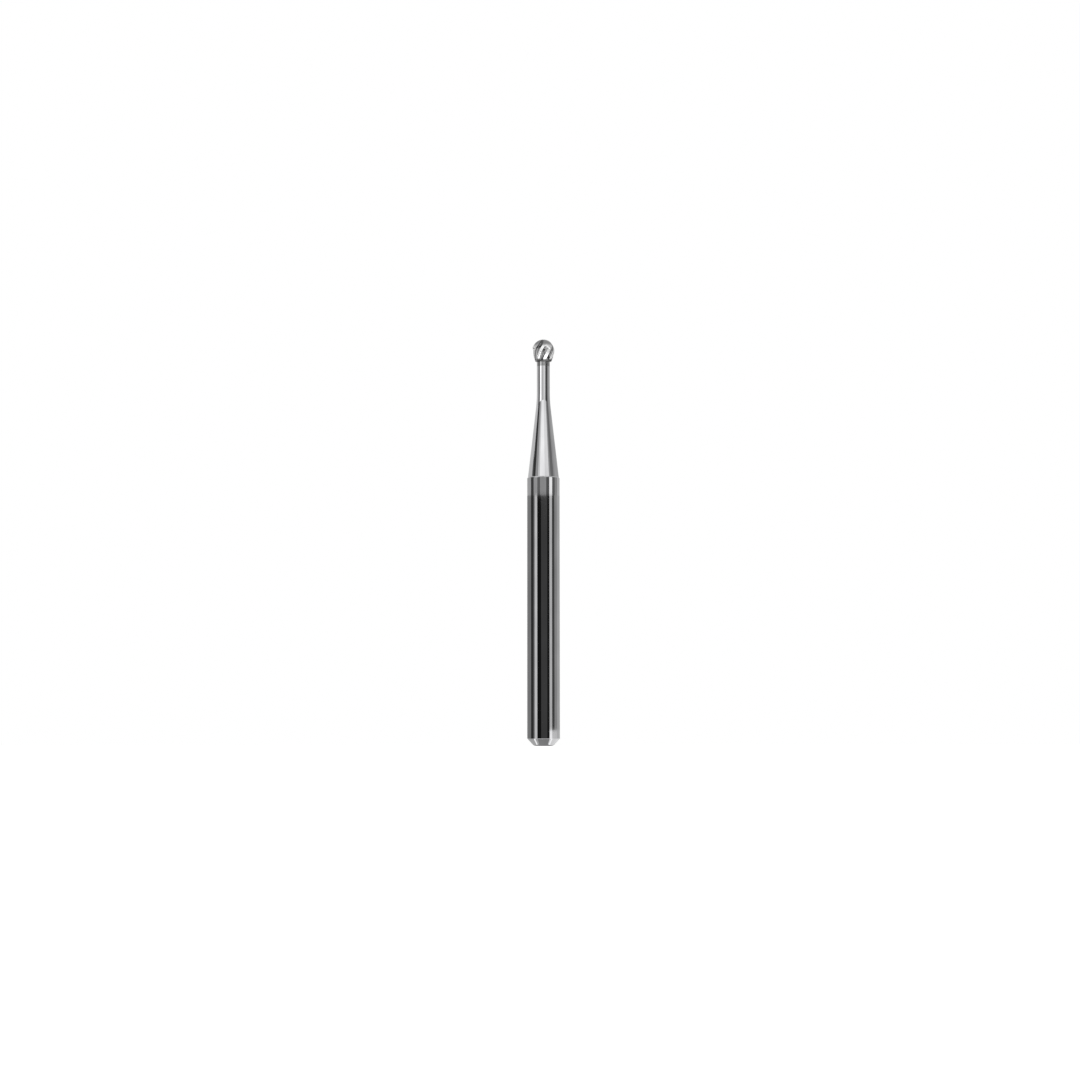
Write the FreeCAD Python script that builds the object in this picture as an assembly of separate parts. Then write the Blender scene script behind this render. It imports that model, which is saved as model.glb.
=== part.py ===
import FreeCAD, Part
import math
import os

# Round carbide burr for a friction-grip handpiece, standing on its axis, which is Z.
# The origin is the centre of the shank's end, and all sizes are in millimetres.
# Shank and neck are one turned steel piece.
# The bladed head and a short stub of neck behind it are one piece of tungsten carbide.
# The two are welded face to face just behind the head.

# Shank
shank_diameter = 1.60
shank_length = 13.20
end_face_diameter = 0.94
end_chamfer_length = 0.36
end_corner_radius = 0.22

# Neck
shoulder_chamfer = 0.035
neck_taper_length = 3.85
neck_straight_length = 1.95
neck_diameter = 0.64
neck_blend_radius = 7.50
carbide_stub_length = 0.25

# Head before its flutes are ground
head_diameter = 1.10
head_back_length = 0.55
head_back_ledge = 0.075
head_back_fillet = 0.02

# Flutes, and the blades left standing between them
# Every other flute goes on to the tip, and those between start lower on the ball
blade_count = 8
first_blade_angle = -136.0
helix_angle = 28.0
rake_lean_angle = 6.0
flute_depth = 0.135
gullet_radius = 0.03
blade_width = 0.16
blade_margin = 0.03
heel_drop = 0.02
long_flute_top_angle = 84.0
short_flute_top_angle = 15.0
short_flute_full_angle = 3.0
flute_run_out = 0.16
cutter_clearance = 0.05

# Radii and heights that follow
shank_radius = shank_diameter / 2
neck_radius = neck_diameter / 2
head_radius = head_diameter / 2
head_back_radius = neck_radius + head_back_ledge
head_back_z = shank_length + neck_taper_length + neck_straight_length
head_centre_z = head_back_z + head_back_length
weld_z = head_back_z - carbide_stub_length

# The head behind its widest place is an arc that starts level with the ball
back_inset = head_radius - head_back_radius
back_arc_radius = (head_back_length**2 + back_inset**2) / (2 * back_inset)
back_arc_sweep = math.asin(head_back_length / back_arc_radius)


def at(radius, height):
    """Point of a turned outline, in the plane that holds the axis."""
    return FreeCAD.Vector(radius, 0, height)


def line(start, end):
    return Part.LineSegment(start, end).toShape()


def arc(start, middle, end):
    return Part.Arc(start, middle, end).toShape()


def turned(outline):
    """Solid of revolution about the axis, from the edges of its closed outline."""
    face = Part.Face(Part.Wire(outline))
    return face.revolve(at(0, 0), FreeCAD.Vector(0, 0, 1), 360)


def rounded_corner(before, corner, after, radius):
    """Arc that rounds the corner between two straight sides."""
    to_before = (before - corner).normalize()
    to_after = (after - corner).normalize()
    half_angle = to_before.getAngle(to_after) / 2
    bisector = (to_before + to_after).normalize()
    reach = radius / math.tan(half_angle)
    middle = corner + bisector * (radius / math.sin(half_angle) - radius)
    return arc(corner + to_before * reach, middle, corner + to_after * reach)


def shank_end(chamfer_top):
    """Flat end face, its rounded rim and the chamfer that leads it into the chuck."""
    centre = at(0, 0)
    rim = rounded_corner(centre, at(end_face_diameter / 2, 0), chamfer_top, end_corner_radius)
    rim_start, rim_end = (vertex.Point for vertex in rim.Vertexes)
    return [line(centre, rim_start), rim, line(rim_end, chamfer_top)]


def neck_flare(base):
    """Cone up from the shoulder, and the long blend that ends it on the straight neck."""
    corner_z = shank_length + neck_taper_length
    half_angle = math.atan((base.x - neck_radius) / (corner_z - base.z))
    centre_z = corner_z + neck_blend_radius * math.tan(half_angle / 2)
    centre = at(neck_radius + neck_blend_radius, centre_z)

    def blend_point(angle):
        return centre - at(math.cos(angle), math.sin(angle)) * neck_blend_radius

    cone_top = blend_point(half_angle)
    neck_start = blend_point(0)
    edges = [line(base, cone_top), arc(cone_top, blend_point(half_angle / 2), neck_start)]
    return edges, neck_start


def steel_shank():
    """Shank, shoulder, flare and straight neck, up to the weld."""
    chamfer_top = at(shank_radius, end_chamfer_length)
    shoulder_low = at(shank_radius, shank_length - shoulder_chamfer)
    shoulder_high = at(shank_radius - shoulder_chamfer, shank_length)
    flare, neck_start = neck_flare(shoulder_high)
    weld_rim = at(neck_radius, weld_z)
    outline = shank_end(chamfer_top)
    outline += [line(chamfer_top, shoulder_low), line(shoulder_low, shoulder_high)]
    outline += flare
    outline += [line(neck_start, weld_rim), line(weld_rim, at(0, weld_z))]
    outline += [line(at(0, weld_z), at(0, 0))]
    return turned(outline)


def ball_place(elevation):
    """Point of the ball at an angle above its widest place, and the outward direction there."""
    outward = at(math.cos(elevation), math.sin(elevation))
    return at(0, head_centre_z) + outward * head_radius, outward


def back_place(sweep):
    """The same on the arc behind the widest place."""
    outward = at(math.cos(sweep), -math.sin(sweep))
    arc_centre = at(head_radius - back_arc_radius, head_centre_z)
    return arc_centre + outward * back_arc_radius, outward


def run_out_place():
    """Where the flute lifts clear of the neck, its gullet just on the neck's surface."""
    depth = flute_depth * head_back_radius / head_radius
    return at(neck_radius + depth, head_back_z - flute_run_out), at(1, 0)


def head_blank():
    """Ball nose, fuller back, narrow back face and the stub of neck behind it."""
    quarter = math.pi / 4
    tip = at(0, head_centre_z + head_radius)
    widest = at(head_radius, head_centre_z)
    back_rim = at(head_back_radius, head_back_z)
    fillet_centre = at(neck_radius + head_back_fillet, head_back_z - head_back_fillet)
    fillet_out = fillet_centre + at(0, head_back_fillet)
    fillet_middle = fillet_centre + at(-math.cos(quarter), math.sin(quarter)) * head_back_fillet
    fillet_in = fillet_centre - at(head_back_fillet, 0)
    weld_rim = at(neck_radius, weld_z)
    return turned([
        arc(tip, ball_place(quarter)[0], widest),
        arc(widest, back_place(back_arc_sweep / 2)[0], back_rim),
        line(back_rim, fillet_out),
        arc(fillet_out, fillet_middle, fillet_in),
        line(fillet_in, weld_rim),
        line(weld_rim, at(0, weld_z)),
        line(at(0, weld_z), tip),
    ])


def flute_section(surface, outward, lift=0):
    """Outline of what a flute takes away, in the plane square to the head's outline there.

    It goes from above the cutting edge of one blade down its rake face, round the gullet,
    up the back of the next blade to the heel and along the relief to the narrow margin
    that stays before the next cutting edge. It shrinks with the head towards the tip.
    The lift raises the whole section, where the grinding wheel comes in.
    """
    shrink = surface.x / head_radius
    sideways = FreeCAD.Vector(0, 1, 0)
    axis_point = surface - outward * (surface.x / outward.x)

    def place(width, height):
        turn = width / head_radius
        swing = math.atan2(math.sin(turn) * outward.x, math.cos(turn))
        ray = outward * math.cos(swing) + sideways * math.sin(swing)
        return axis_point + ray * (surface.x / outward.x + height * shrink)

    pitch = 2 * math.pi * head_radius / blade_count
    above = head_radius / math.cos(math.pi / blade_count) - head_radius + cutter_clearance
    rake_slope = sideways * math.tan(math.radians(rake_lean_angle)) - outward
    gullet = surface + rake_slope * (flute_depth * shrink)
    above_edge = surface - rake_slope * (above * shrink)
    heel = place(pitch - blade_width, -heel_drop)
    margin = place(pitch - blade_margin, 0)
    past_margin = margin + (margin - heel).normalize() * (cutter_clearance * shrink)
    above_margin = place(pitch - blade_margin + cutter_clearance, above)
    floor = rounded_corner(above_edge, gullet, heel, gullet_radius * shrink)
    floor_start, floor_end = (vertex.Point for vertex in floor.Vertexes)
    section = Part.Wire([
        line(above_edge, floor_start),
        floor,
        line(floor_end, heel),
        line(heel, past_margin),
        line(past_margin, above_margin),
        line(above_margin, above_edge),
    ])
    twist = math.tan(math.radians(helix_angle)) * (surface.z - head_centre_z) / head_radius
    section.translate(outward * (lift * shrink))
    section.rotate(at(0, 0), FreeCAD.Vector(0, 0, 1), math.degrees(twist))
    return section


def flute_cutter(top_sections):
    """Solid that the grinding wheel sweeps, from its top sections to its run-out on the neck."""
    back_steps = 6
    places = [back_place(back_arc_sweep * step / back_steps) for step in range(back_steps + 1)]
    places.append(run_out_place())
    return Part.makeLoft(top_sections + [flute_section(*place) for place in places], True, True)


def long_flute_cutter():
    """Cutter that keeps its full depth from near the tip."""
    nose_steps = 12
    top = math.radians(long_flute_top_angle)
    elevations = [top * (1 - step / nose_steps) for step in range(nose_steps)]
    return flute_cutter([flute_section(*ball_place(elevation)) for elevation in elevations])


def short_flute_cutter():
    """Cutter that comes down into the ball where a short flute starts."""
    entry_steps = 4
    top = math.radians(short_flute_top_angle)
    full = math.radians(short_flute_full_angle)
    sections = []
    for step in range(entry_steps + 1):
        left = 1 - step / entry_steps
        place = ball_place(full + (top - full) * left)
        sections.append(flute_section(*place, flute_depth * left**2))
    return flute_cutter(sections)


def carbide_head():
    """The blank with its helical flutes ground away, long and short ones by turns.

    The blank's seam lies in the middle of a blade while the flutes are cut.
    """
    axis = FreeCAD.Vector(0, 0, 1)
    half_blade = math.degrees(blade_width / head_diameter)
    kinds = [long_flute_cutter(), short_flute_cutter()]
    cutters = []
    for blade in range(blade_count):
        cutter = kinds[blade % len(kinds)].copy()
        cutter.rotate(at(0, 0), axis, half_blade + 360 * blade / blade_count)
        cutters.append(cutter)
    head = head_blank().cut(cutters)
    head.rotate(at(0, 0), axis, first_blade_angle - half_blade)
    return head


os.makedirs("parts", exist_ok=True)
steel_shank().exportStep("parts/steel_shank.step")
carbide_head().exportStep("parts/carbide_head.step")
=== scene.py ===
import math

import bpy
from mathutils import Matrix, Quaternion, Vector


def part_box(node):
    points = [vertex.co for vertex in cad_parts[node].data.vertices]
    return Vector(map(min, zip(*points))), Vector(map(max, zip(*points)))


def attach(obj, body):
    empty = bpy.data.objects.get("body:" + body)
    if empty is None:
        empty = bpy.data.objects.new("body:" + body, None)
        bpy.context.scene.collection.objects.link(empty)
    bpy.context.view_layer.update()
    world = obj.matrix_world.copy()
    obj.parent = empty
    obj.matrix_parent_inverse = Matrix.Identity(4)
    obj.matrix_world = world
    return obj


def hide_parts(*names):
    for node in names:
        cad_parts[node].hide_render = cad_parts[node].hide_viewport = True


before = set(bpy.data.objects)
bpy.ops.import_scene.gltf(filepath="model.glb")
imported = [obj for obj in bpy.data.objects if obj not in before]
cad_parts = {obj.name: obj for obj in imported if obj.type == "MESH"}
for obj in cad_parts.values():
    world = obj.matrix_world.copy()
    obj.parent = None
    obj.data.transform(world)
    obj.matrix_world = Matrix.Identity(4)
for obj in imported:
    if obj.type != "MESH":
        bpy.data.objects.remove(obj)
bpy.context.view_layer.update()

# Sizes in the dictionaries are millimetres and degrees, and meshes are in metres
mm = 0.001
onAxis = 1e-6  # a radius smaller than this is on the axis
fullTurn = 2 * math.pi
white = (1, 1, 1, 1)
print("frame loaded:", sorted(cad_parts))


# Mesh helpers

def meshFrom(name, points, faces):
    mesh = bpy.data.meshes.new(name)
    mesh.from_pydata([Vector(point) * mm for point in points], [], faces)
    mesh.validate()
    return mesh


def placeMesh(name, mesh):
    piece = bpy.data.objects.new(name, mesh)
    bpy.context.scene.collection.objects.link(piece)
    return piece


def smoothUpTo(mesh, angle):
    mesh.shade_smooth()
    mesh.set_sharp_from_angle(angle=math.radians(angle))


# From low to high while value goes from start to end
def fade(low, high, value, start, end):
    share = min(max((value - start) / (end - start), 0), 1)
    return low + (high - low) * share


# A turned outline from its corners, each with the radius that rounds it
def turnedOutline(corners, settings):
    outline = []
    for i, (r, z, rounding) in enumerate(corners):
        corner = Vector((r, z))
        if rounding == 0:
            outline.append(corner)
            continue
        before = (Vector(corners[i - 1][:2]) - corner).normalized()
        after = (Vector(corners[i + 1][:2]) - corner).normalized()
        half = before.angle(after) / 2
        centre = corner + (before + after).normalized() * (rounding / math.sin(half))
        start = corner + before * (rounding / math.tan(half))
        sweep = (math.pi - 2 * half) * (1 if before.cross(after) > 0 else -1)
        isFlare = rounding >= settings["flareFrom"]
        steps = settings["flareSteps"] if isFlare else settings["roundSteps"]
        for step in range(steps + 1):
            turn = -sweep * step / steps
            arm = start - centre
            cosine, sine = math.cos(turn), math.sin(turn)
            turned = Vector((arm.x * cosine - arm.y * sine, arm.x * sine + arm.y * cosine))
            outline.append(centre + turned)
    return holdStraights(outline, settings["holdLength"], settings["holdFrom"])


# Extra points near both ends of each long straight keep its shading flat
def holdStraights(outline, hold, shortest):
    held = [outline[0]]
    for start, end in zip(outline, outline[1:]):
        span = end - start
        if span.length > shortest:
            step = span.normalized() * hold
            held += [start + step, end - step]
        held.append(end)
    return held


def turnedMesh(name, outline, segments):
    points, rings = [], []
    for r, z in outline:
        if r < onAxis:
            rings.append([len(points)] * segments)
            points.append((0, 0, z))
            continue
        rings.append(list(range(len(points), len(points) + segments)))
        for k in range(segments):
            turn = fullTurn * k / segments
            points.append((r * math.cos(turn), r * math.sin(turn), z))
    return meshFrom(name, points, facesBetween(rings, closed=True))


# Quads between rings of points, and triangles where a ring has shrunk to one point
def facesBetween(rings, closed):
    faces = []
    for low, high in zip(rings, rings[1:]):
        count = len(low)
        for k in range(count if closed else count - 1):
            following = (k + 1) % count
            corners = [low[k], low[following], high[following], high[k]]
            face = [c for i, c in enumerate(corners) if c != corners[i - 1]]
            if len(face) > 2:
                faces.append(face)
    return faces


# Materials

def newMaterial(name):
    material = bpy.data.materials.new(name)
    material.use_nodes = True
    nodes = material.node_tree.nodes
    return material, nodes, material.node_tree.links, nodes["Principled BSDF"]


# Noise on object coordinates, with cells of (x, y, z) millimetres, moved by its seed
def stretchedNoise(nodes, links, cell, detail, seed):
    coords = nodes.new("ShaderNodeTexCoord")
    mapping = nodes.new("ShaderNodeMapping")
    mapping.inputs["Location"].default_value = (seed, seed * 2, seed * 3)
    mapping.inputs["Scale"].default_value = [1 / (side * mm) for side in cell]
    noise = nodes.new("ShaderNodeTexNoise")
    noise.inputs["Scale"].default_value = 1.0
    noise.inputs["Detail"].default_value = detail
    links.new(coords.outputs["Object"], mapping.inputs["Vector"])
    links.new(mapping.outputs["Vector"], noise.inputs["Vector"])
    return noise.outputs["Fac"]


noiseReach = (0.3, 0.7)  # nearly all of a noise lies between these


# A value brought from its own reach to (low, high)
def spread(nodes, links, value, low, high, reach=noiseReach):
    remap = nodes.new("ShaderNodeMapRange")
    remap.inputs["From Min"].default_value = reach[0]
    remap.inputs["From Max"].default_value = reach[1]
    remap.inputs["To Min"].default_value = low
    remap.inputs["To Max"].default_value = high
    links.new(value, remap.inputs["Value"])
    return remap.outputs["Result"]


def tone(nodes, links, value, low, high):
    ramp = nodes.new("ShaderNodeMix")
    ramp.data_type = "RGBA"
    ramp.inputs["A"].default_value = (*low, 1)
    ramp.inputs["B"].default_value = (*high, 1)
    links.new(spread(nodes, links, value, 0, 1), ramp.inputs["Factor"])
    return ramp.outputs["Result"]


def relief(nodes, links, value, depth, shader):
    bump = nodes.new("ShaderNodeBump")
    bump.inputs["Strength"].default_value = 1.0
    bump.inputs["Distance"].default_value = depth * mm
    links.new(value, bump.inputs["Height"])
    links.new(bump.outputs["Normal"], shader.inputs["Normal"])


# Each noise is (cell, detail, seed)
steelSettings = {
    "cloudNoise": ((0.5, 0.5, 1.6), 3.0, 7.7),
    "cloudTones": ((0.57, 0.57, 0.58), (0.67, 0.67, 0.68)),
    "grindNoise": ((0.9, 0.9, 0.012), 2.0, 3.1),
    "grindDepth": 0.000002,
    "roughness": (0.015, 0.035),
}


def groundSteel():
    s = steelSettings
    material, nodes, links, shader = newMaterial("groundSteel")
    shader.inputs["Metallic"].default_value = 1.0
    lines = stretchedNoise(nodes, links, *s["grindNoise"])
    cloud = stretchedNoise(nodes, links, *s["cloudNoise"])
    links.new(tone(nodes, links, cloud, *s["cloudTones"]), shader.inputs["Base Color"])
    links.new(spread(nodes, links, lines, *s["roughness"]), shader.inputs["Roughness"])
    relief(nodes, links, lines, s["grindDepth"], shader)
    return material


carbideSettings = {
    "grainNoise": ((0.02, 0.02, 0.02), 4.0, 5.3),
    "grainTones": ((0.9, 0.9, 0.9), (1.0, 1.0, 1.0)),
    "grindNoise": ((0.05, 0.05, 0.008), 2.0, 1.9),
    "grindDepth": 0.00015,
    "paintedLightReach": (0.4, 0.9),
    "roughness": (0.14, 0.4),
}


# The attribute read here holds painted light and shade on the ground carbide: brightest, as a painted
# highlight, on the lands of the blades, and darkest, as painted shade, in the corner behind the head
def groundCarbide():
    s = carbideSettings
    material, nodes, links, shader = newMaterial("groundCarbide")
    shader.inputs["Metallic"].default_value = 1.0
    paintedLightAndShade = nodes.new("ShaderNodeAttribute")
    paintedLightAndShade.attribute_name = "paintedLightAndShade"
    grain = stretchedNoise(nodes, links, *s["grainNoise"])
    lines = stretchedNoise(nodes, links, *s["grindNoise"])
    # The base colour is the painted light and shade times the carbide's grain
    grained = nodes.new("ShaderNodeMix")
    grained.data_type = "RGBA"
    grained.blend_type = "MULTIPLY"
    grained.inputs["Factor"].default_value = 1.0
    links.new(paintedLightAndShade.outputs["Color"], grained.inputs["A"])
    links.new(tone(nodes, links, grain, *s["grainTones"]), grained.inputs["B"])
    links.new(grained.outputs["Result"], shader.inputs["Base Color"])
    rough = spread(nodes, links, paintedLightAndShade.outputs["Fac"], *s["roughness"], s["paintedLightReach"])
    links.new(rough, shader.inputs["Roughness"])
    relief(nodes, links, lines, s["grindDepth"], shader)
    return material


# Shank and neck

shankSettings = {
    "length": 13.20,
    "endFaceDiameter": 0.94,
    "endChamferLength": 0.36,
    "endCornerRadius": 0.22,
    "edgeRounding": 0.012,
    "shoulderChamfer": 0.035,
    "neckTaperLength": 3.85,
    "neckDiameter": 0.64,
    "neckBlendRadius": 7.50,
    "segments": 256,
    "roundSteps": 6,
    "flareSteps": 48,
    "flareFrom": 1.0,  # a corner of this radius or more gets the flare's steps
    "holdLength": 0.02,
    "holdFrom": 0.08,  # straights longer than this get the extra points
    "sharpAngle": 40.0,
}


def makeShank(material):
    s = shankSettings
    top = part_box("steel_shank")[1] / mm
    radius, weldZ, neck, edge = top.x, top.z, s["neckDiameter"] / 2, s["edgeRounding"]
    outline = turnedOutline([
        (0, 0, 0),
        (s["endFaceDiameter"] / 2, 0, s["endCornerRadius"]),
        (radius, s["endChamferLength"], edge),
        (radius, s["length"] - s["shoulderChamfer"], edge),
        (radius - s["shoulderChamfer"], s["length"], edge),
        (neck, s["length"] + s["neckTaperLength"], s["neckBlendRadius"]),
        (neck, weldZ, 0),
        (0, weldZ, 0),
    ], s)
    mesh = turnedMesh("shankAndNeck", outline, s["segments"])
    mesh.materials.append(material)
    smoothUpTo(mesh, s["sharpAngle"])
    return placeMesh("shank_and_neck", mesh)


# Head: one long and one short flute are modelled, and a node tree repeats them round the axis

headSettings = {
    "diameter": 1.10,
    "backLength": 0.55,
    "neckDiameter": 0.64,
    "backLedge": 0.075,
    "backFillet": 0.02,
    "bladeCount": 8,
    "firstBladeAngle": -136.0,
    "helixAngle": 28.0,
    "rakeLean": 6.0,
    "fluteDepth": 0.135,
    "gulletRadius": 0.03,
    "bladeWidth": 0.16,
    "marginWidth": 0.03,
    "heelDrop": 0.02,
    "fluteRunOut": 0.16,
    "longFluteTop": (86.0, 82.0),  # elevations where it starts and where it has its full depth
    "shortFluteTop": (15.0, 3.0),
    # Painted light and shade: a painted highlight on the lands, and painted shade on the cap, in the
    # flutes, on the stub and in the corner
    "paintedLandHighlight": 0.97,
    "paintedCapShade": 0.39,
    "capShadeElevation": (14.0, 34.0),  # the lands' painted highlight fades to the cap's painted shade between these
    "paintedFluteShade": 0.3,
    "paintedStubShade": 0.4,
    "paintedCornerShade": 0.16,
    "cornerShadeReach": (-0.04, 0.05, 0.12),  # heights over the back: top of the stub's painted shade, top of the corner's full painted shade, end of its fade
    "rakeSteps": 4,
    "gulletSteps": 6,
    "floorSteps": 8,
    "reliefSteps": 4,
    "marginSteps": 2,
    "ballRows": 72,
    "entryRows": 36,
    "backRows": 28,
    "filletRows": 4,
    "neckRows": 8,
    "surfaceTolerance": 0.0001,
    "joinDistance": 0.0001,
    "sharpAngle": 28.0,
}


# Columns of one flute as points round the axis, in the plane square to the outline at a row
def fluteColumns(surface, outward, s):
    headRadius = s["diameter"] / 2
    shrink = surface.x / headRadius
    reach = surface.x / outward.x
    depth = s["fluteDepth"] * shrink
    pitch = math.pi * s["diameter"] / s["bladeCount"]

    def place(width, height):
        turn = width / headRadius
        swing = math.atan2(math.sin(turn) * outward.x, math.cos(turn))
        return Vector((math.sin(swing), math.cos(swing))) * (reach + height * shrink)

    edge = place(0, 0)
    gullet = edge + Vector((math.tan(math.radians(s["rakeLean"])), -1)) * depth
    heel = place(pitch - s["bladeWidth"], -s["heelDrop"])
    margin = place(pitch - s["marginWidth"], 0)
    before, after = (edge - gullet).normalized(), (heel - gullet).normalized()
    half = before.angle(after) / 2
    radius = s["gulletRadius"] * shrink
    centre = gullet + (before + after).normalized() * (radius / math.sin(half))
    arcStart = gullet + before * (radius / math.tan(half))
    arcEnd = gullet + after * (radius / math.tan(half))
    rakeSteps, gulletSteps, floorSteps = s["rakeSteps"], s["gulletSteps"], s["floorSteps"]
    columns = [edge.lerp(arcStart, t / rakeSteps) for t in range(rakeSteps)]
    for t in range(gulletSteps + 1):
        arm = arcStart.lerp(arcEnd, t / gulletSteps) - centre
        columns.append(centre + arm.normalized() * radius)
    columns += [arcEnd.lerp(heel, t / floorSteps) for t in range(1, floorSteps)]
    columns += [heel.lerp(margin, t / s["reliefSteps"]) for t in range(s["reliefSteps"])]
    for t in range(s["marginSteps"]):
        columns.append(place(pitch - s["marginWidth"] * (1 - t / s["marginSteps"]), 0))
    return columns, reach


# One row of points across the long and the short flute, each lifted out of the metal by its lift
def headRow(surface, outward, lifts, s):
    headRadius = s["diameter"] / 2
    shrink = surface.x / headRadius
    columns, reach = fluteColumns(surface, outward, s)
    axisZ = surface.y - outward.y * reach
    twist = math.tan(math.radians(s["helixAngle"])) * (surface.y - s["centreZ"]) / headRadius
    row = []
    for flute, lift in enumerate(lifts):
        turn = fullTurn * flute / s["bladeCount"] + twist
        for column in columns:
            swing = math.atan2(column.x, column.y)
            distance = min(column.length + lift * shrink, max(reach, column.length))
            row.append(pointAt(distance, swing, outward, axisZ, turn))
    lastTurn = fullTurn * len(lifts) / s["bladeCount"] + twist
    row.append(pointAt(reach, 0, outward, axisZ, lastTurn))
    return row


def pointAt(distance, swing, outward, axisZ, turn):
    x = distance * math.cos(swing) * outward.x
    y = distance * math.sin(swing)
    z = axisZ + distance * math.cos(swing) * outward.y
    cosine, sine = math.cos(turn), math.sin(turn)
    return (x * cosine - y * sine, x * sine + y * cosine, z)


# How far a flute is lifted where it starts: the path of a round grinding wheel coming in
def wheelLift(elevation, top, s):
    start, full = top
    return s["fluteDepth"] * fade(0, 1, elevation, full, start) ** 2


# Elevations of the rows on the ball, closer together where the short flutes start
def ballElevations(s):
    start, full = s["shortFluteTop"]
    coarse = [90 * (1 - k / s["ballRows"]) for k in range(1, s["ballRows"] + 1)]
    fine = [full + (start - full) * k / s["entryRows"] for k in range(s["entryRows"] + 1)]
    return sorted([row for row in coarse if not full <= row <= start] + fine, reverse=True)


# Radius of the arc from the head's widest place down to the ledge at its back
def backArcRadius(s):
    backRadius = s["neckDiameter"] / 2 + s["backLedge"]
    inset = s["diameter"] / 2 - backRadius
    return (s["backLength"] ** 2 + inset ** 2) / (2 * inset)


def headRows(s):
    headRadius, backArc = s["diameter"] / 2, s["backArc"]
    backSweep = math.asin(s["backLength"] / backArc)
    rows = []
    for elevation in ballElevations(s):
        angle = math.radians(elevation)
        outward = Vector((math.cos(angle), math.sin(angle)))
        surface = Vector((0, s["centreZ"])) + outward * headRadius
        tops = (s["longFluteTop"], s["shortFluteTop"])
        lifts = [wheelLift(elevation, top, s) for top in tops]
        rows.append(headRow(surface, outward, lifts, s))
    for k in range(1, s["backRows"] + 1):
        angle = backSweep * k / s["backRows"]
        outward = Vector((math.cos(angle), -math.sin(angle)))
        surface = Vector((headRadius - backArc, s["centreZ"])) + outward * backArc
        rows.append(headRow(surface, outward, [0, 0], s))
    return rows


# Behind the head the flutes run out on the neck, and each column keeps the nearer to the
# axis of the blank and the cutter
def backRows(rim, s):
    neck, fillet, backZ = s["neckDiameter"] / 2, s["backFillet"], s["backZ"]
    ledgeRadius = neck + s["backLedge"]
    runOutRadius = neck + s["fluteDepth"] * ledgeRadius / (s["diameter"] / 2)
    runOutZ = backZ - s["fluteRunOut"]
    runOut = headRow(Vector((runOutRadius, runOutZ)), Vector((1, 0)), [0, 0], s)
    blank = [(ledgeRadius, backZ)]
    for k in range(s["filletRows"] + 1):
        turn = math.pi / 2 * k / s["filletRows"]
        radius = neck + fillet * (1 - math.sin(turn))
        blank.append((radius, backZ - fillet * (1 - math.cos(turn))))
    for k in range(1, s["neckRows"] + 1):
        blank.append((neck, backZ - fillet - (s["fluteRunOut"] - fillet) * k / s["neckRows"]))
    blank.append((neck, s["weldZ"]))
    rows = []
    for radius, z in blank:
        row = []
        for start, end in zip(rim, runOut):
            t = fade(0, 1, z, start[2], end[2])
            startTurn = math.atan2(start[1], start[0])
            endTurn = math.atan2(end[1], end[0])
            turn = startTurn + math.remainder(endTurn - startTurn, fullTurn) * t
            cut = math.hypot(*start[:2]) * (1 - t) + math.hypot(*end[:2]) * t
            r = min(radius, cut) if z > runOutZ else radius
            row.append((r * math.cos(turn), r * math.sin(turn), z))
        rows.append(row)
    return rows


def pairOfFlutes(s):
    rows = headRows(s)
    rows += backRows(rows[-1], s)
    width = len(rows[0])
    points = [(0, 0, s["tipZ"])]
    rings = [[0] * width]
    # Each point's painted light and shade, kept as a point attribute
    paintedLightAndShade = [s["paintedCapShade"]]
    for row in rows:
        rings.append(list(range(len(points), len(points) + width)))
        points += row
        paintedLightAndShade += [paintedLightAt(point, column, s) for column, point in enumerate(row)]
    rings.append([len(points)] * width)
    points.append((0, 0, s["weldZ"]))
    paintedLightAndShade.append(s["paintedStubShade"])
    return points, rings, paintedLightAndShade


# The painted light and shade at a point: a painted highlight on the lands, most towards the widest
# place, painted shade dulling the flutes, and the darkest painted shade in the corner at the head's
# back
def paintedLightAt(point, column, s):
    r, z = math.hypot(*point[:2]), point[2] - s["centreZ"]
    headRadius, backArc = s["diameter"] / 2, s["backArc"]
    aboveBack = point[2] - s["backZ"]
    stubTop, cornerTop, fadeTop = s["cornerShadeReach"]
    # The stub behind the head gets painted shade
    if aboveBack < stubTop:
        return s["paintedStubShade"]
    if z >= 0:
        depth = headRadius - math.hypot(r, z)
    else:
        depth = backArc - math.hypot(r - headRadius + backArc, z)
    reliefColumn = s["rakeSteps"] + s["gulletSteps"] + s["floorSteps"]
    columnCount = reliefColumn + s["reliefSteps"] + s["marginSteps"]
    elevation = math.degrees(math.atan2(z, r))
    # The lands get a painted highlight fading to painted shade towards the cap, and the flutes get
    # painted shade
    bladePaintedLight = fade(s["paintedLandHighlight"], s["paintedCapShade"], elevation, *s["capShadeElevation"])
    if column % columnCount < reliefColumn and depth > s["surfaceTolerance"]:
        bladePaintedLight = s["paintedFluteShade"]
    # The corner at the head's back fades into its painted shade
    return fade(s["paintedCornerShade"], bladePaintedLight, aboveBack, cornerTop, fadeTop)


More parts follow.
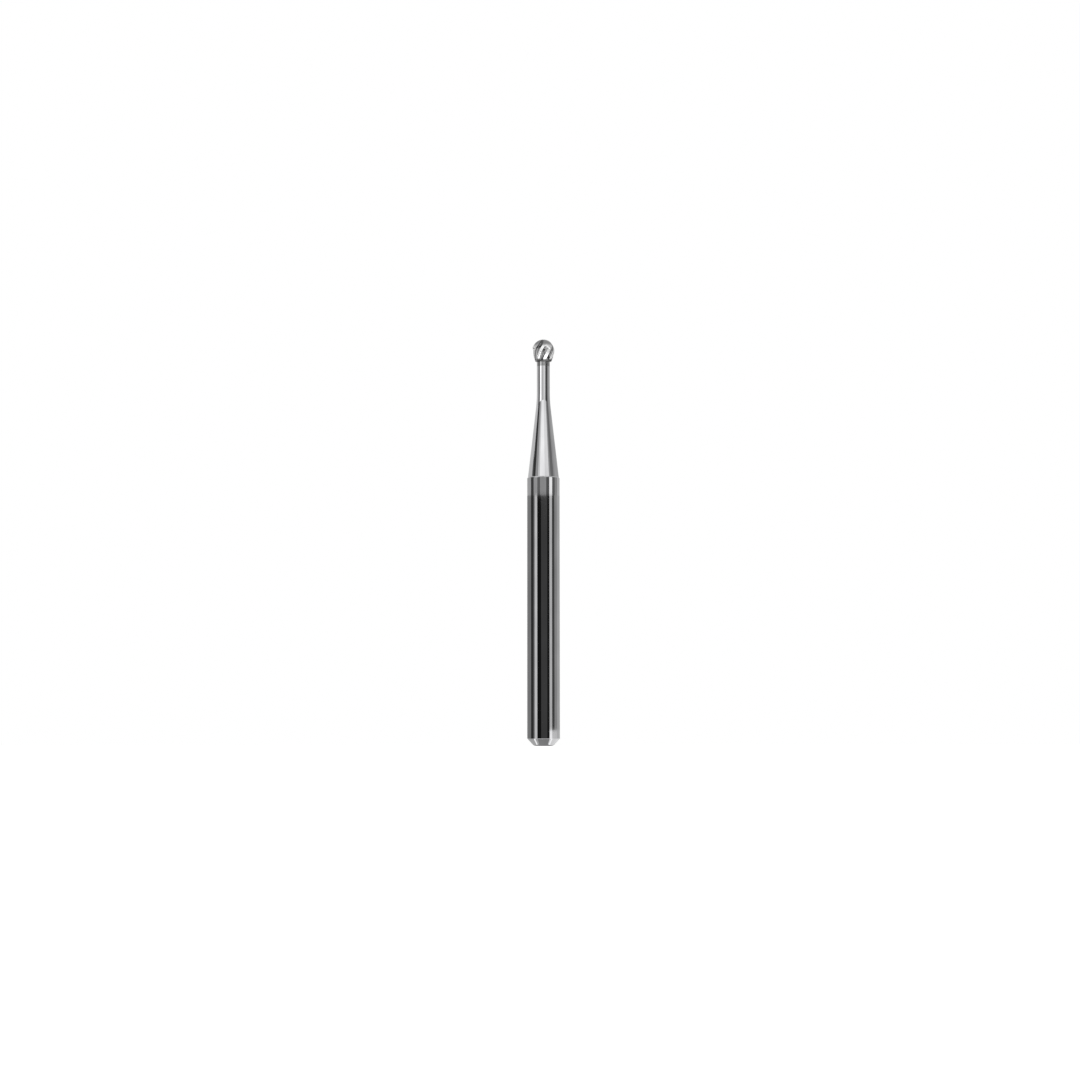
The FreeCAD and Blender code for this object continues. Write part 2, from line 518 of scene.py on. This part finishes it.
def makeHead(material):
    s = headSettings
    low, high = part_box("carbide_head")
    s["tipZ"] = high.z / mm
    s["weldZ"] = low.z / mm
    s["centreZ"] = s["tipZ"] - s["diameter"] / 2
    s["backZ"] = s["centreZ"] - s["backLength"]
    s["backArc"] = backArcRadius(s)
    points, rings, paintedLightAndShade = pairOfFlutes(s)
    faces = [list(reversed(face)) for face in facesBetween(rings, closed=False)]
    sector = placeMesh("headSector", meshFrom("headSector", points, faces))
    # The sector carries its painted light and shade as a point attribute
    sector.data.attributes.new("paintedLightAndShade", "FLOAT", "POINT").data.foreach_set("value", paintedLightAndShade)
    tree = bladeRing(material)
    sockets = [item for item in tree.interface.items_tree if item.in_out == "INPUT"]
    inputs = {item.name: item.identifier for item in sockets}
    modifier = sector.modifiers.new("bladeRing", "NODES")
    modifier.node_group = tree
    modifier[inputs["Repeats"]] = s["bladeCount"] // 2
    modifier[inputs["First Blade Angle"]] = math.radians(s["firstBladeAngle"])
    modifier[inputs["Join Distance"]] = s["joinDistance"] * mm
    shown = sector.evaluated_get(bpy.context.evaluated_depsgraph_get())
    mesh = bpy.data.meshes.new_from_object(shown)
    mesh.name = "bladedHead"
    bpy.data.objects.remove(sector)
    smoothUpTo(mesh, s["sharpAngle"])
    return placeMesh("bladed_head", mesh)


# Copies of the sector, each turned by its share of a full turn and joined to the next
def bladeRing(material):
    tree = bpy.data.node_groups.new("bladeRing", "GeometryNodeTree")
    tree.interface.new_socket("Geometry", in_out="INPUT", socket_type="NodeSocketGeometry")
    tree.interface.new_socket("Repeats", in_out="INPUT", socket_type="NodeSocketInt")
    tree.interface.new_socket("First Blade Angle", in_out="INPUT", socket_type="NodeSocketFloat")
    tree.interface.new_socket("Join Distance", in_out="INPUT", socket_type="NodeSocketFloat")
    tree.interface.new_socket("Geometry", in_out="OUTPUT", socket_type="NodeSocketGeometry")
    nodes, links = tree.nodes, tree.links
    given = nodes.new("NodeGroupInput")
    result = nodes.new("NodeGroupOutput")
    places = nodes.new("GeometryNodePoints")
    index = nodes.new("GeometryNodeInputIndex")
    share = nodes.new("ShaderNodeMath")
    share.operation = "DIVIDE"
    turn = nodes.new("ShaderNodeMath")
    turn.operation = "MULTIPLY_ADD"
    turn.inputs[1].default_value = fullTurn
    spin = nodes.new("ShaderNodeCombineXYZ")
    copies = nodes.new("GeometryNodeInstanceOnPoints")
    realize = nodes.new("GeometryNodeRealizeInstances")
    merge = nodes.new("GeometryNodeMergeByDistance")
    paint = nodes.new("GeometryNodeSetMaterial")
    paint.inputs["Material"].default_value = material
    links.new(given.outputs["Repeats"], places.inputs["Count"])
    links.new(index.outputs["Index"], share.inputs[0])
    links.new(given.outputs["Repeats"], share.inputs[1])
    links.new(share.outputs[0], turn.inputs[0])
    links.new(given.outputs["First Blade Angle"], turn.inputs[2])
    links.new(turn.outputs[0], spin.inputs["Z"])
    links.new(places.outputs[0], copies.inputs["Points"])
    links.new(given.outputs["Geometry"], copies.inputs["Instance"])
    links.new(spin.outputs["Vector"], copies.inputs["Rotation"])
    links.new(copies.outputs["Instances"], realize.inputs["Geometry"])
    links.new(realize.outputs["Geometry"], merge.inputs["Geometry"])
    links.new(given.outputs["Join Distance"], merge.inputs["Distance"])
    links.new(merge.outputs["Geometry"], paint.inputs["Geometry"])
    links.new(paint.outputs["Geometry"], result.inputs["Geometry"])
    return tree


steel = groundSteel()
carbide = groundCarbide()
print("materials ready")

shank = makeShank(steel)
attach(shank, "root")
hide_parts("steel_shank")
print("shank and neck:", len(shank.data.polygons), "faces")

head = makeHead(carbide)
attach(head, "root")
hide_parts("carbide_head")
print("bladed head:", len(head.data.polygons), "faces")


# Studio: azimuth 0 is the camera's side, and 90 is the right-hand side
# Each tier of softboxes and flags goes round from -180, and lists (up to azimuth, strength)

shankCards = [
    (-100, 0.26), (-74, 0.04), (-65, 0.25), (-45, 0.78), (-17, 0.01), (26, 0.065), (43, 0.015),
]
studioSettings = {
    "distance": 300.0,
    "cardStep": 3.0,
    "leastCardSteps": 2,
    "floorDrop": 60.0,
    "floorSize": 6000.0,
    "floorColour": (0.9, 0.9, 0.9, 1),
    "floorRoughness": 0.8,
    "floorGlow": 0.65,
    "roomGlow": 0.6,
    "endTier": (-20.0, -2.9, [*shankCards, (63, 1.35), (84, 0.8), (110, 0.75), (180, 0.6)]),
    "shankTier": (-2.9, 43.15, [*shankCards, (63, 0.65), (84, 0.07), (110, 0.34), (180, 0.5)]),
    "zoneTier": (43.15, 57.0, [
        (-100, 0.5), (-74, 0.07), (-44, 0.44), (-24, 0.17), (20, 0.38), (42, 0.12),
        (65, 1.2), (88, 0.13), (115, 0.33), (180, 0.6),
    ]),
    "neckTier": (57.0, 100.0, [
        (-98, 0.72), (-62, 0.18), (-36, 1.7), (-18, 0.8), (0, 0.58), (36, 0.95),
        (76, 0.08), (98, 0.38), (180, 0.5),
    ]),
    "coneTier": (100.0, 170.0, [
        (-92, 0.75), (-64, 0.05), (-42, 0.42), (-28, 0.85), (10, 1.3), (43, 1.04),
        (56, 0.4), (84, 0.2), (112, 0.42), (180, 0.6),
    ]),
    "ballTier": (170.0, 380.0, [(-75, 0.5), (60, 1.2), (180, 0.6)]),
    "frontGlow": ((-220.0, 220.0), (-220.0, 220.0), -340.0, -30.0, -59.0, 2.3),
    "underFlag": ((-3.6, 3.6), (-12.0, 12.0), -5.0, 50.0, -10.0, 0.3),
    "leftFlag": ((-60.0, 0.0), (-60.0, 0.0), -5.0, 60.0, -12.0, 0.55),
    "rightFlag": ((0.0, 60.0), (0.0, 60.0), -5.0, 60.0, -12.0, 0.98),
    "leftStrip": ((-8.2, -6.9), (-8.2, -6.9), 0.0, 6.0, -11.5, 1.4),
    "rightStrip": ((6.0, 7.4), (6.0, 7.4), 0.0, 6.0, -11.5, 1.4),
}


def glowMaterial(name, strength):
    material = bpy.data.materials.new(name)
    material.use_nodes = True
    nodes = material.node_tree.nodes
    nodes.clear()
    glow = nodes.new("ShaderNodeEmission")
    glow.inputs["Strength"].default_value = strength
    output = nodes.new("ShaderNodeOutputMaterial")
    material.node_tree.links.new(glow.outputs["Emission"], output.inputs["Surface"])
    return material


# A softbox or a dark flag, as a curved upright card that only reflections see
def addCard(name, fromAzimuth, toAzimuth, low, high, strength):
    s = studioSettings
    sweep = toAzimuth - fromAzimuth
    steps = max(s["leastCardSteps"], int(sweep / s["cardStep"]))
    points = []
    for k in range(steps + 1):
        azimuth = math.radians(fromAzimuth + sweep * k / steps)
        x, y = s["distance"] * math.sin(azimuth), -s["distance"] * math.cos(azimuth)
        points += [(x, y, low), (x, y, high)]
    faces = [(2 * k, 2 * k + 1, 2 * k + 3, 2 * k + 2) for k in range(steps)]
    stageCard(name, points, faces, strength)


def stageCard(name, points, faces, strength):
    card = placeMesh(name, meshFrom(name, points, faces))
    card.data.materials.append(glowMaterial(name, strength))
    card.visible_camera = False
    card.visible_shadow = False


def addTier(name):
    low, high, cards = studioSettings[name]
    fromAzimuth = -180
    for n, (toAzimuth, strength) in enumerate(cards):
        addCard(f"{name}{n}", fromAzimuth, toAzimuth, low, high, strength)
        fromAzimuth = toAzimuth


# A level card: its left and right ends at the front and at the back, where its front and
# back lie, its height and its strength
def addLevelCard(name):
    front, back, frontY, backY, z, strength = studioSettings[name]
    points = [(x, frontY, z) for x in front] + [(x, backY, z) for x in reversed(back)]
    stageCard(name, points, [(0, 1, 2, 3)], strength)


# The floor is a white backdrop to look at, and a greyer one in what the steel reflects
def makeFloor():
    s = studioSettings
    half, z = s["floorSize"] / 2, -s["floorDrop"]
    points = [(-half, -half, z), (half, -half, z), (half, half, z), (-half, half, z)]
    floor = placeMesh("floor", meshFrom("floor", points, [(0, 1, 2, 3)]))
    material, nodes, links, shader = newMaterial("paleFloor")
    shader.inputs["Base Color"].default_value = s["floorColour"]
    shader.inputs["Roughness"].default_value = s["floorRoughness"]
    shader.inputs["Emission Color"].default_value = white
    rays = nodes.new("ShaderNodeLightPath")
    glow = nodes.new("ShaderNodeMath")
    glow.operation = "MULTIPLY"
    glow.inputs[1].default_value = s["floorGlow"]
    links.new(rays.outputs["Is Camera Ray"], glow.inputs[0])
    links.new(glow.outputs[0], shader.inputs["Emission Strength"])
    floor.data.materials.append(material)


# The room is white to the camera too, and lights the object more dimly
def makeWorld():
    world = bpy.data.worlds.new("whiteRoom")
    bpy.context.scene.world = world
    world.use_nodes = True
    nodes, links = world.node_tree.nodes, world.node_tree.links
    nodes.clear()
    rays = nodes.new("ShaderNodeLightPath")
    backdrop = nodes.new("ShaderNodeBackground")
    room = nodes.new("ShaderNodeBackground")
    room.inputs["Strength"].default_value = studioSettings["roomGlow"]
    for background in (backdrop, room):
        background.inputs["Color"].default_value = white
    blend = nodes.new("ShaderNodeMixShader")
    output = nodes.new("ShaderNodeOutputWorld")
    links.new(rays.outputs["Is Camera Ray"], blend.inputs[0])
    links.new(room.outputs[0], blend.inputs[1])
    links.new(backdrop.outputs[0], blend.inputs[2])
    links.new(blend.outputs[0], output.inputs["Surface"])


makeWorld()
makeFloor()
for tier in ("endTier", "shankTier", "zoneTier", "neckTier", "coneTier", "ballTier"):
    addTier(tier)
for card in ("frontGlow", "underFlag", "leftFlag", "rightFlag", "leftStrip", "rightStrip"):
    addLevelCard(card)
print("studio ready")


# Camera

cameraSettings = {
    "distance": 100.0,
    "height": 2.0,
    "aimHeight": 10.108,
    "aimAside": -0.17,
    "roll": -0.04,
    "frameWidth": 53.1,
    "sensorWidth": 36.0,
    "clipStart": 1.0,
}


def makeCamera():
    s = cameraSettings
    data = bpy.data.cameras.new("camera")
    data.sensor_width = s["sensorWidth"]
    data.lens = s["sensorWidth"] * s["distance"] / s["frameWidth"]
    data.clip_start = s["clipStart"] * mm
    camera = bpy.data.objects.new("camera", data)
    bpy.context.scene.collection.objects.link(camera)
    camera.location = Vector((s["aimAside"], -s["distance"], s["height"])) * mm
    aim = Vector((s["aimAside"], 0, s["aimHeight"])) * mm
    look = (aim - camera.location).to_track_quat("-Z", "Y")
    roll = Quaternion((0, 0, 1), math.radians(s["roll"]))
    camera.rotation_euler = (look @ roll).to_euler()
    bpy.context.scene.camera = camera


makeCamera()
bpy.context.scene.view_settings.view_transform = "Standard"
print("camera ready")
